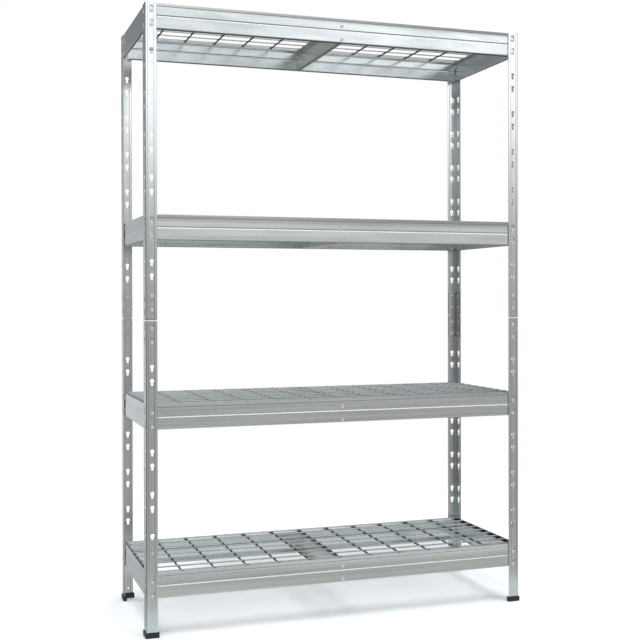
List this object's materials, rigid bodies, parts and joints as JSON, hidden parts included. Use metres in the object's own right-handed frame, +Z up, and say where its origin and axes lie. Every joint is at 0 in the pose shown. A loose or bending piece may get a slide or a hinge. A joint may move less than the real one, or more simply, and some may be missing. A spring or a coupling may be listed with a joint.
{
  "type": "boltless shelving unit",
  "caption": "Free-standing galvanised boltless shelving: split angle posts with keyholes, stud-hung beams and lift-off welded wire decks.",
  "frame": {"origin": "middle of the footprint, on the floor under the feet", "axes": "+X along the width to the right seen from the front, -Y towards the front, +Z up"},
  "size_m": [1.205, 0.405, 1.8051],
  "materials": {
    "galvanised_post": "satin",
    "galvanised_beam": "satin",
    "galvanised_wire": "satin",
    "zinc_stud": "satin",
    "black_plastic": "matte"
  },
  "bodies": {
    "frame": {"post_lower_front_left": "galvanised_post", "post_lower_front_right": "galvanised_post", "post_lower_back_left": "galvanised_post", "post_lower_back_right": "galvanised_post", "post_upper_front_left": "galvanised_post", "post_upper_front_right": "galvanised_post", "post_upper_back_left": "galvanised_post", "post_upper_back_right": "galvanised_post", "splice_front_left": "galvanised_post", "splice_front_right": "galvanised_post", "splice_back_left": "galvanised_post", "splice_back_right": "galvanised_post", "splice_studs": "zinc_stud", "foot_front_left": "black_plastic", "foot_front_right": "black_plastic", "foot_back_left": "black_plastic", "foot_back_right": "black_plastic"},
    "level_1": {"beam_front_1": "galvanised_beam", "beam_back_1": "galvanised_beam", "beam_left_1": "galvanised_beam", "beam_right_1": "galvanised_beam", "tie_1": "galvanised_beam", "studs_1": "zinc_stud", "tie_rivets_1": "zinc_stud"},
    "deck_panel_1": {"deck_1": "galvanised_wire"},
    "level_2": {"beam_front_2": "galvanised_beam", "beam_back_2": "galvanised_beam", "beam_left_2": "galvanised_beam", "beam_right_2": "galvanised_beam", "tie_2": "galvanised_beam", "studs_2": "zinc_stud", "tie_rivets_2": "zinc_stud"},
    "deck_panel_2": {"deck_2": "galvanised_wire"},
    "level_3": {"beam_front_3": "galvanised_beam", "beam_back_3": "galvanised_beam", "beam_left_3": "galvanised_beam", "beam_right_3": "galvanised_beam", "tie_3": "galvanised_beam", "studs_3": "zinc_stud", "tie_rivets_3": "zinc_stud"},
    "deck_panel_3": {"deck_3": "galvanised_wire"},
    "level_4": {"beam_front_4": "galvanised_beam", "beam_back_4": "galvanised_beam", "beam_left_4": "galvanised_beam", "beam_right_4": "galvanised_beam", "tie_4": "galvanised_beam", "studs_4": "zinc_stud", "tie_rivets_4": "zinc_stud"},
    "deck_panel_4": {"deck_4": "galvanised_wire"}
  },
  "joints": [
    {"name": "level_1_unhook", "type": "slide", "parent": "frame", "child": "level_1", "axis": [0, 0, 1], "range_m": [0, 0.011]},
    {"name": "deck_1_lift", "type": "slide", "parent": "level_1", "child": "deck_panel_1", "axis": [0, 0, 1], "range_m": [0, 0.1]},
    {"name": "level_2_unhook", "type": "slide", "parent": "frame", "child": "level_2", "axis": [0, 0, 1], "range_m": [0, 0.011]},
    {"name": "deck_2_lift", "type": "slide", "parent": "level_2", "child": "deck_panel_2", "axis": [0, 0, 1], "range_m": [0, 0.1]},
    {"name": "level_3_unhook", "type": "slide", "parent": "frame", "child": "level_3", "axis": [0, 0, 1], "range_m": [0, 0.011]},
    {"name": "deck_3_lift", "type": "slide", "parent": "level_3", "child": "deck_panel_3", "axis": [0, 0, 1], "range_m": [0, 0.1]},
    {"name": "level_4_unhook", "type": "slide", "parent": "frame", "child": "level_4", "axis": [0, 0, 1], "range_m": [0, 0.011]},
    {"name": "deck_4_lift", "type": "slide", "parent": "level_4", "child": "deck_panel_4", "axis": [0, 0, 1], "range_m": [0, 0.1]}
  ]
}
